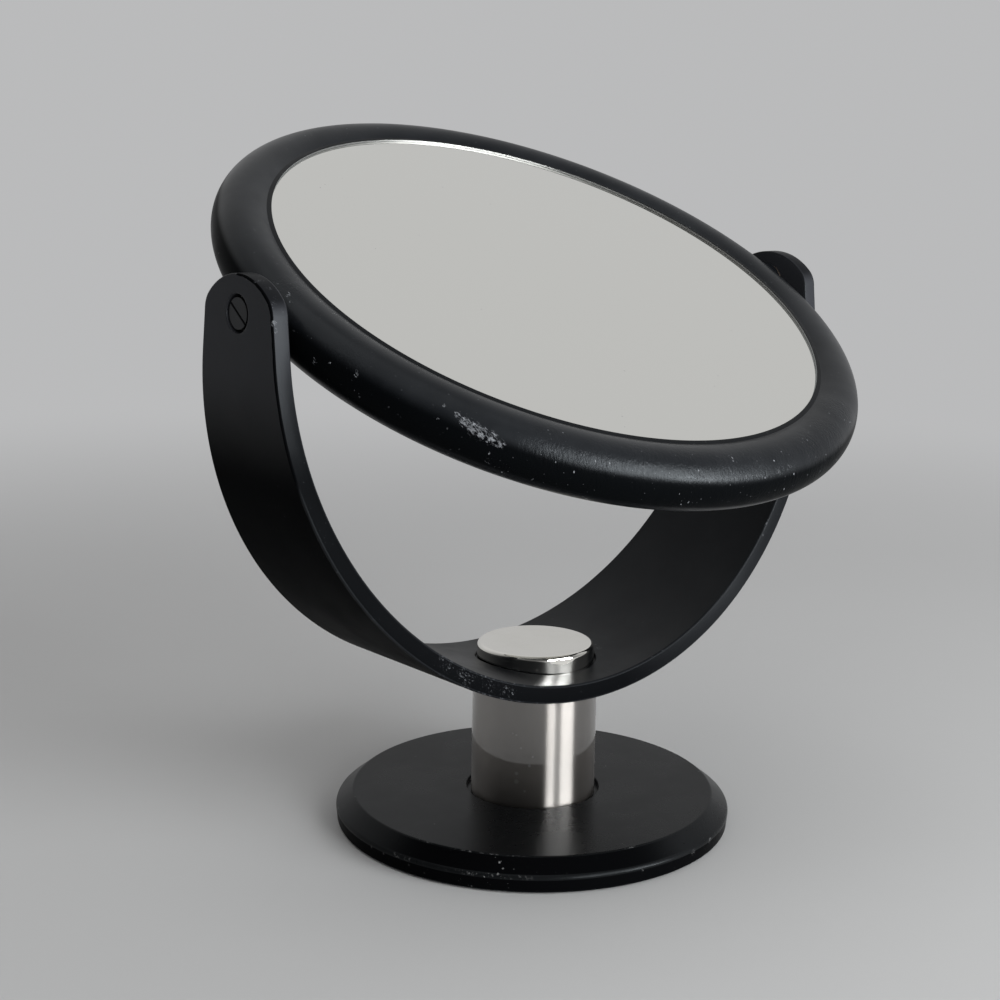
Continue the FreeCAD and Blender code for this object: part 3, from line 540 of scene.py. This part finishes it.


# the yoke: a band bent to a U, worked out flat as (along, across) and then bent. The skin turns matt, and
# is painted darker as shade, below the heights mattShadeFrom (outer face) and frontMattShade (front flat),
# and above lineFrom (outer front edge, painted as a dark line) and tipFrom (tips of the ears), each over
# the distance that follows it. A block is what a face leaves out round a hole: its reach along the band and
# its share of the band's width.
yokeSizes = {"outer": 87.7, "thick": 4.3, "centre": 124.25, "earHalf": 13.45, "shoulder": 132.9,
             "taper": 0.10171, "corner": 6.0, "cornerSide": 7.45, "crown": 16.882, "crownCentre": 124.968,
             "junction": 46.77, "ease": 0.5, "pivot": 133.2, "sink": 4.3, "sinkDeep": 2.5, "bush": 3.02,
             "capSeat": 15.3, "capFloor": 40.85, "tubeSeat": 15.9, "tubeTop": 37.9, "spigot": 14.2,
             "spigotLow": 33.9, "bolt": 3.3, "mouth": 0.2, "mattShadeFrom": 122.0, "mattShadeOver": 30.0,
             "frontMattShade": 140.0, "frontOver": 42.0, "frontShare": 0.78, "lineFrom": 88.0, "lineOver": 12.0,
             "tipFrom": 134.0, "tipOver": 3.0, "tipShare": 0.55, "pivotBlock": (6.8, 0.55),
             "seatBlock": (20.5, 0.88)}
# mean radius of the bent band, its length along a quarter turn, and how far along the flat band a height
# on the upright stretch lies beyond that height
bandRadius = yokeSizes["outer"] - yokeSizes["thick"] / 2
bandQuarter = bandRadius * np.pi / 2
bandLift = bandQuarter - yokeSizes["centre"]


def bandPoint(along, across, deep):
    # bends the flat band: r = outer - deep, turn = along / mean radius up to a quarter each way, then
    # straight up: (r sin turn, across, centre - r cos turn + rest of the way)
    turn = np.minimum(np.abs(along) / bandRadius, np.pi / 2)
    rest = np.maximum(np.abs(along) - bandQuarter, 0)
    r = yokeSizes["outer"] - deep
    x, z = np.sign(along) * r * np.sin(turn), yokeSizes["centre"] - r * np.cos(turn) + rest
    return np.stack(np.broadcast_arrays(x, across, z), -1)


def yokeOutline():
    # half of the outline from the post to the tip of an ear: along, half width (0 where it tapers), and the
    # turn of its normal
    size = yokeSizes
    foot = np.linspace(0, bandQuarter, 73)[:-1]
    upright = np.linspace(bandQuarter, size["shoulder"] + bandLift, 9)[:-1]
    corner = np.radians(np.linspace(0, size["junction"], 9))[:-1]
    crown = np.radians(np.linspace(size["junction"], 90, 11))
    along = np.concatenate([foot, upright, size["shoulder"] + bandLift + size["corner"] * np.sin(corner),
                            size["crownCentre"] + bandLift + size["crown"] * np.sin(crown)])
    half = np.concatenate([foot * 0, upright * 0, size["cornerSide"] + size["corner"] * np.cos(corner),
                           size["crown"] * np.cos(crown)])
    return along, half, np.concatenate([foot * 0, upright * 0, corner, crown])


def edgeAt(outline, inset, deep):
    # outline moved inwards along its normal; below the shoulder the width follows the point's height
    along, half, turn = outline
    movedAlong = along - inset * np.sin(turn)
    height = bandPoint(movedAlong, 0, deep)[..., 2]
    tapered = yokeSizes["earHalf"] + yokeSizes["taper"] * (yokeSizes["shoulder"] - height) - inset
    return movedAlong, np.where(half > 0, half - inset * np.cos(turn), np.where(turn > 0, 0, tapered))


def yokeRim(outline):
    # a rounded profile of (inset, depth) carried once round the outline
    size = yokeSizes
    ease, last = size["ease"], len(outline[0]) - 1
    bend = np.linspace(0, np.pi / 2, 6)
    inset = np.concatenate([ease - ease * np.sin(bend), ease - ease * np.cos(bend)])
    deep = np.concatenate([ease - ease * np.cos(bend), size["thick"] - ease + ease * np.sin(bend)])
    rubbed = np.concatenate([np.sin(bend * 2) * 0.9 + 0.1, np.sin(bend * 2) * 0.9 + 0.1])
    order = np.concatenate([np.arange(last + 1), np.arange(last - 1, -1, -1), np.arange(1, last + 1),
                            np.arange(last - 1, 0, -1)])
    ends = np.concatenate([np.ones(2 * last + 1), -np.ones(2 * last - 1)])
    sides = np.concatenate([np.ones(last + 1), -np.ones(2 * last), np.ones(last - 1)])
    edges = [(edgeAt(outline, i, d), d) for i, d in zip(inset, deep)]
    rim = np.stack([bandPoint(ends * edge[0][order], sides * edge[1][order], d) for edge, d in edges], 1)
    # the front flat keeps its matt skin, painted darker as shade, below the ears, less of it towards the
    # right, and so do the ears' tips and, from lineFrom upwards, the outer front edge, painted as a dark
    # line
    x, z, front = rim[..., 0], rim[..., 2], rim[..., 1] < 0
    low = np.clip((size["frontMattShade"] - z) / size["frontOver"], 0, 1) * front
    low = low * np.clip(1.2 - x / 45, 0, 1)
    high = np.clip((z - size["lineFrom"]) / size["lineOver"], 0, 1) * front
    tip = np.clip((z - size["tipFrom"]) / size["tipOver"], 0, 1)
    rimWear = np.broadcast_to(rubbed[None, :], rim.shape[:2]).copy()
    rimWear[:, :5] -= (high * (rimWear + 1))[:, :5]
    rimWear[:, 5:7] = -np.maximum(size["frontShare"] * low, size["tipShare"] * tip)[:, 5:7]
    return rim, rimWear, {"joinRows": True}


def yokeFace(outline, deepness, rimAngles):
    # the outer (deepness 0) or inner face: rows across the band less a block round each hole, and a ring of
    # quads from each block's border to its hole, along border + (hole - border) * (1 - grow)
    size = yokeSizes
    outer = deepness == 0
    rowAlong, rowHalf = edgeAt(outline, size["ease"], deepness)
    rowAlong = np.concatenate([-rowAlong[:0:-1], rowAlong])
    rowHalf = np.concatenate([rowHalf[:0:-1], rowHalf])
    shares = np.sin(np.linspace(-1, 1, 41) * np.pi / 2)
    across = rowHalf[:, None] * shares[None, :]
    face = bandPoint(rowAlong[:, None], across, deepness)
    # the outer face is matt and painted darker as shade below mattShadeFrom
    flank = -np.clip((size["mattShadeFrom"] - face[..., 2]) / size["mattShadeOver"], 0, 1) * outer
    kept = np.ones((len(rowAlong) - 1, len(shares) - 1), bool)
    pivotAlong = size["pivot"] + bandLift
    grids = []
    for name, middle, (reach, share) in (("left", -pivotAlong, size["pivotBlock"]),
                                         ("right", pivotAlong, size["pivotBlock"]),
                                         ("seat", 0.0, size["seatBlock"])):
        rowsIn = np.where(np.abs(rowAlong - middle) <= reach)[0]
        columnsIn = np.where(np.abs(shares) <= share)[0]
        i0, i1, j0, j1 = rowsIn[0], rowsIn[-1], columnsIn[0], columnsIn[-1]
        kept[i0:i1, j0:j1] = False
        i = np.concatenate([np.full(j1 - j0, i0), np.arange(i0, i1), np.full(j1 - j0, i1),
                            np.arange(i1, i0, -1)])
        j = np.concatenate([np.arange(j0, j1), np.full(i1 - i0, j1), np.arange(j1, j0, -1),
                            np.full(i1 - i0, j0)])
        borderAlong, borderAcross = rowAlong[i], across[i, j]
        angle = rimAngles.setdefault(name, np.arctan2(borderAcross, borderAlong - middle))
        if name == "seat":
            radius = size["tubeSeat"] if outer else size["capSeat"] + size["mouth"]
            holeAlong = bandRadius * np.arcsin(radius * np.cos(angle) / (size["outer"] - deepness))
        else:
            radius = size["sink"] + size["mouth"] if outer else size["bush"]
            holeAlong = middle + radius * np.cos(angle)
        holeAcross = radius * np.sin(angle)
        grow = np.linspace(0, 1, 7)[None, :] ** 1.3
        patchAlong = holeAlong[:, None] + (borderAlong - holeAlong)[:, None] * grow
        patchAcross = holeAcross[:, None] + (borderAcross - holeAcross)[:, None] * grow
        # the outer face round the tube's seat is matt and painted darker as shade; the inner face round the
        # cap's seat is rubbed pale
        if name == "seat":
            patchWear = 0 * grow - 1.0 if outer else 0.55 * (1 - grow) ** 6
        else:
            patchWear = 0 * grow
        grids.append((bandPoint(patchAlong, patchAcross, deepness), patchWear, {"joinRows": True}))
    return grids + [(face, flank, {"kept": kept})]


def pivotHole(side, angle):
    # from the outer face inwards: a sunk seat for the screw head, then the way for the bush
    size = yokeSizes
    sink, mouth = size["sink"], size["mouth"]
    radius = np.array([sink + mouth, sink + 0.06, sink, sink, size["bush"], size["bush"]])
    deep = np.array([0, 0.06, mouth, size["sinkDeep"], size["sinkDeep"], size["thick"]])
    angle = angle[:, None]
    walls = np.stack(np.broadcast_arrays(side * (size["outer"] - deep), radius * np.sin(angle),
                                         size["pivot"] + side * radius * np.cos(angle)), -1)
    return walls, 0.0, {"joinRows": True}


def postSeats(angle):
    # seats of the cap and the tube, the spigot and the bolt's way, in one loop from face to face
    size = yokeSizes
    angle = angle[:, None]
    inner = size["outer"] - size["thick"]
    capRim, tubeRim, flat = size["capSeat"] + size["mouth"], size["tubeSeat"], 0 * angle
    upper = size["centre"] - np.sqrt(inner ** 2 - (capRim * np.cos(angle)) ** 2)
    lower = size["centre"] - np.sqrt(size["outer"] ** 2 - (tubeRim * np.cos(angle)) ** 2)
    radius = [capRim, size["capSeat"], size["capSeat"], size["bolt"], size["bolt"], size["spigot"],
              size["spigot"], tubeRim, tubeRim]
    height = [upper, np.maximum(upper - size["mouth"], size["capFloor"]), flat + size["capFloor"],
              flat + size["capFloor"], flat + size["spigotLow"], flat + size["spigotLow"],
              flat + size["tubeTop"], np.maximum(lower, size["tubeTop"]), lower]
    radius, height = np.array(radius)[None, :], np.concatenate(height, 1)
    return np.stack([radius * np.cos(angle), radius * np.sin(angle), height], -1), 0.0, {"joinRows": True}


outline, rimAngles = yokeOutline(), {}
grids = [yokeRim(outline)]
for deepness in (0.0, yokeSizes["thick"]):
    grids += yokeFace(outline, deepness, rimAngles)
grids += [pivotHole(-1, rimAngles["left"]), pivotHole(1, rimAngles["right"]), postSeats(rimAngles["seat"])]
makePiece("yokeBand", grids, "stand", "yoke_black", ["yoke"], sharp=32.0)


# the mirror head, worked out lying flat and then tilted to its rest angle
headSizes = {"axisHeight": 133.2, "tilt": 26.92}
ringSizes = {"middle": 75.53, "round": 7.06, "crown": 9.1, "land": 71.0, "lip": 69.85, "lipTop": 6.1,
             "lipLow": 5.48, "lipEase": 0.12, "bore": 70.6, "flange": 66.0, "flangeTop": 2.7,
             "bossRadius": 5.6, "bossRoot": 77.5, "bossFace": 82.95, "screwHole": 2.1, "bossEase": 0.7,
             "mattShadeFrom": 42.0, "mattShadeOver": 22.0}


def tilted(points):
    # turns points about the head axis and lifts them: (x, y cos t - z sin t, y sin t + z cos t + height)
    lean = math.radians(headSizes["tilt"])
    x, y, z = points[..., 0], points[..., 1], points[..., 2]
    return np.stack([x, y * math.cos(lean) - z * math.sin(lean),
                     y * math.sin(lean) + z * math.cos(lean) + headSizes["axisHeight"]], -1)


def ringProfile():
    # one half of the ring's section: outer round, rounder crown, flat land, plated lip over the glass, bore
    # and flange. Returns the points and their edge attribute.
    size = ringSizes
    outer = arcPoints((size["middle"], 0), size["round"], 0, 90, 44)
    turnUp = np.linspace(0, 90, 44)
    # the outer round is matt, and painted darker as shade, from its widest part up to about mattShadeFrom
    # degrees
    flank = -np.clip((size["mattShadeFrom"] - turnUp) / size["mattShadeOver"], 0, 1)
    meet = math.degrees(math.acos((size["land"] - size["middle"]) / size["crown"]))
    crown = arcPoints((size["middle"], size["round"] - size["crown"]), size["crown"], 90, meet, 24)[1:]
    ease, top = size["lipEase"], size["lipTop"]
    lip = arcPoints((size["lip"] + ease, top - ease), ease, 90, 180, 6)
    land = np.array([[size["land"] - 0.05, crown[-1][1]]])
    wall = np.array([[size["lip"], top - ease - 0.01], [size["lip"], size["lipLow"]]])
    seat = np.array([[size["lip"] + 0.01, size["lipLow"]], [size["bore"], size["lipLow"]],
                     [size["bore"], size["flangeTop"]], [size["flange"], size["flangeTop"]],
                     [size["flange"], 0]])
    # the land and the lip are partly matt and painted a little darker as shade; the wall is plated
    worn = np.concatenate([flank, np.zeros(len(crown)), np.full(1 + len(lip), -0.6), [2, 2],
                           np.zeros(len(seat))])
    return np.concatenate([outer, crown, land, lip, wall, seat]), worn


def bossHalf(side, up):
    # half a pivot boss: its section swept through half a turn about the head axis, and closed at the joint
    size = ringSizes
    outline, _ = softened([(size["bossRoot"], size["bossRadius"]),
                           (size["bossFace"], size["bossRadius"], size["bossEase"]),
                           (size["bossFace"], size["screwHole"])], closed=False, pieces=6)
    under = np.stack([np.linspace(size["bossRoot"], size["bossFace"], len(outline)),
                      np.full(len(outline), size["screwHole"])], -1)
    loop = np.concatenate([outline, under[::-1]])
    turn = np.linspace(0, np.pi, 41)[:, None]
    swept = np.stack(np.broadcast_arrays(side * loop[:, 0][None, :], loop[:, 1][None, :] * np.cos(turn),
                                         up * loop[:, 1][None, :] * np.sin(turn)), -1)
    grids = [(tilted(swept), 0.0, {"joinColumns": True})]
    for across in (1, -1):
        face = np.stack([outline, under]) * [side, across]
        face = np.concatenate([face, np.zeros(face.shape[:2] + (1,))], -1)
        grids.append((tilted(face), 0.0, {}))
    return grids


for name, up, node in (("ringFront", 1, "front_bezel"), ("ringRear", -1, "rear_bezel")):
    profile, worn = ringProfile()
    points, worn, joins = turned(profile * [1, up], worn, True, 360)
    makePiece(name, [(tilted(points), worn, joins)] + bossHalf(-1, up) + bossHalf(1, up), "mirror_head",
              "ring_black", [node])

# both glasses sit behind the lips, a little below them
glassSizes = {"radius": 70.4, "thick": 2.68, "face": 5.43, "ease": 0.2, "bent": 930.0, "bentCentre": 2.76,
              "bentThick": 2.31}


def glassPiece(name, face, back, slotName, node, sharp):
    # face and back give the height of the glass at a radius; a small ease runs round the front
    size = glassSizes
    reach = np.linspace(0, size["radius"] - size["ease"], 40)
    turn = np.linspace(0.2, 1, 4) * np.pi / 2
    rim = reach[-1] + size["ease"] * np.sin(turn)
    across = np.concatenate([reach, rim])
    front = np.concatenate([face(reach), face(rim) - size["ease"] * (1 - np.cos(turn))])
    profile = np.concatenate([np.stack([across, front], -1), [[size["radius"], back(size["radius"])]],
                              np.stack([reach[::-1], back(reach[::-1])], -1)])
    points, worn, joins = turned(profile, np.zeros(len(profile)), False, 288)
    makePiece(name, [(tilted(points), worn, joins)], "mirror_head", slotName, [node], sharp)


def bentDrop(r):
    # the magnifying glass is bent: it falls away from the rim by R - sqrt(R^2 - r^2)
    return glassSizes["bentCentre"] + glassSizes["bent"] - np.sqrt(glassSizes["bent"] ** 2 - r ** 2)


glassPiece("plainGlass", lambda r: glassSizes["face"] + 0 * r,
           lambda r: glassSizes["face"] - glassSizes["thick"] + 0 * r, "mirror_plain", "front_glass", 6.0)
glassPiece("bentGlass", lambda r: -bentDrop(r), lambda r: glassSizes["bentThick"] - bentDrop(r),
           "mirror_bent", "rear_glass", 30.0)


# stage, light and camera; back points to the bright side of the room
stageSizes = {"floorReach": 9.0, "floorColour": (0.56, 0.557, 0.553), "floorTone": (0.59, 0.587, 0.583),
              "fadeFrom": 0.18, "fadeTo": 0.70, "back": (0.665, 0.747, 0.0), "darkest": 0.095,
              "brightest": 0.50, "high": 1.20, "tint": (0.985, 0.99, 1.0)}


def roomLevel(tree, direction):
    # how bright the room is in a direction: bright behind the object, dim behind the camera
    facing = vectorMaths(tree, "DOT_PRODUCT", direction, stageSizes["back"]).outputs["Value"]
    return remap(tree, facing, -0.6, 0.75, stageSizes["darkest"], stageSizes["brightest"])


def paleFloor():
    # matt and pale near the object, fading into the room's own brightness further off
    material, tree, shader = newMaterial("paleFloor")
    tone = mixColour(tree, noise(tree, place(tree), 6.0, 3.0), colour(*stageSizes["floorColour"]),
                     colour(*stageSizes["floorTone"]))
    tree.links.new(tone, shader.inputs["Base Color"])
    shader.inputs["Roughness"].default_value = 0.8
    shader.inputs["Specular IOR Level"].default_value = 0.1
    here = place(tree)
    far = vectorMaths(tree, "LENGTH", here).outputs["Value"]
    outwards = vectorMaths(tree, "NORMALIZE", here).outputs[0]
    shown = add(tree, "Emission", Color=colour(*stageSizes["tint"]), Strength=roomLevel(tree, outwards))
    blend = tree.nodes.new("ShaderNodeMixShader")
    tree.links.new(remap(tree, far, stageSizes["fadeFrom"], stageSizes["fadeTo"]), blend.inputs[0])
    tree.links.new(shader.outputs[0], blend.inputs[1])
    tree.links.new(shown.outputs[0], blend.inputs[2])
    tree.links.new(blend.outputs[0], tree.nodes["Material Output"].inputs["Surface"])
    return material


reach = stageSizes["floorReach"]
floorMesh = bpy.data.meshes.new("floor")
floorMesh.from_pydata([(-reach, -reach, 0), (reach, -reach, 0), (reach, reach, 0), (-reach, reach, 0)], [],
                      [(0, 1, 2, 3)])
floorMesh.materials.append(paleFloor())
floor = bpy.data.objects.new("floor", floorMesh)
bpy.context.scene.collection.objects.link(floor)


def setSky():
    # the room, a little brighter higher up
    world = bpy.data.worlds.new("studio")
    bpy.context.scene.world = world
    world.use_nodes = True
    tree = world.node_tree
    tree.nodes.clear()
    towards = tree.nodes.new("ShaderNodeTexCoord").outputs["Generated"]
    split = add(tree, "SeparateXYZ", Vector=towards)
    climb = remap(tree, split.outputs["Z"], 0.15, 0.62, 1.0, stageSizes["high"])
    soft = add(tree, "Background", Color=colour(*stageSizes["tint"]),
               Strength=combine(tree, "MULTIPLY", roomLevel(tree, towards), climb))
    made = tree.nodes.new("ShaderNodeOutputWorld")
    tree.links.new(soft.outputs[0], made.inputs["Surface"])


def held(name, data, right, above, ahead, spot):
    # an object in the scene that stands at a spot and looks ahead
    holder = bpy.data.objects.new(name, data)
    bpy.context.scene.collection.objects.link(holder)
    pose = np.eye(4)
    pose[:3, 0], pose[:3, 1], pose[:3, 2], pose[:3, 3] = right, above, -ahead, spot
    holder.matrix_world = Matrix(pose.tolist())
    return holder


# all lamps look at one spot; each is its place, its (width, height), its watts and its tint
lampTarget = (0.0, 0.0, 0.09)
coolTint, plainTint = (0.96, 0.985, 1.0), (1, 1, 1)
lamps = {"lowLampNear": ((-0.185, -0.95, 0.09), (0.24, 0.16), 3.2, coolTint),
         "lowLampFar": ((0.34, -0.90, 0.09), (0.43, 0.16), 6.6, coolTint),
         "windowLamp": ((0.16, -0.94, 0.42), (0.80, 0.46), 8.0, coolTint),
         "topLamp": ((-0.35, -0.15, 1.1), (1.05, 1.05), 2.5, plainTint)}


def softLamp(name, spot, size, watts, tint):
    lamp = bpy.data.lights.new(name, "AREA")
    lamp.shape = "RECTANGLE"
    lamp.size, lamp.size_y = size
    lamp.energy = watts
    lamp.color = tint
    away = np.array(lampTarget, float) - np.array(spot, float)
    away /= np.linalg.norm(away)
    side = np.cross(away, (0.0, 0.0, 1.0))
    side /= np.linalg.norm(side)
    held(name, lamp, side, np.cross(side, away), away, spot)


setSky()
for name, (spot, size, watts, tint) in lamps.items():
    softLamp(name, spot, size, watts, tint)

cameraSizes = {"place": (-0.289325, -0.322950, 0.172779), "yaw": 0.7354, "pitch": 0.1388, "roll": 0.0229,
               "lens": 63.51, "shift": (-0.05, -0.12)}


def aimCamera():
    yaw, pitch, roll = cameraSizes["yaw"], cameraSizes["pitch"], cameraSizes["roll"]
    ahead = np.array([math.sin(yaw) * math.cos(pitch), math.cos(yaw) * math.cos(pitch), -math.sin(pitch)])
    right = np.array([math.cos(yaw), -math.sin(yaw), 0.0])
    up = np.cross(right, ahead)
    across = math.cos(roll) * right + math.sin(roll) * up
    rise = -math.sin(roll) * right + math.cos(roll) * up
    camera = bpy.data.cameras.new("camera")
    camera.lens = cameraSizes["lens"]
    camera.sensor_width = 36.0
    camera.sensor_fit = "HORIZONTAL"
    camera.shift_x, camera.shift_y = cameraSizes["shift"]
    camera.clip_start = 0.01
    bpy.context.scene.camera = held("camera", camera, across, rise, ahead, cameraSizes["place"])


aimCamera()
bpy.context.scene.view_settings.view_transform = "Standard"
print("stage, light and camera set")
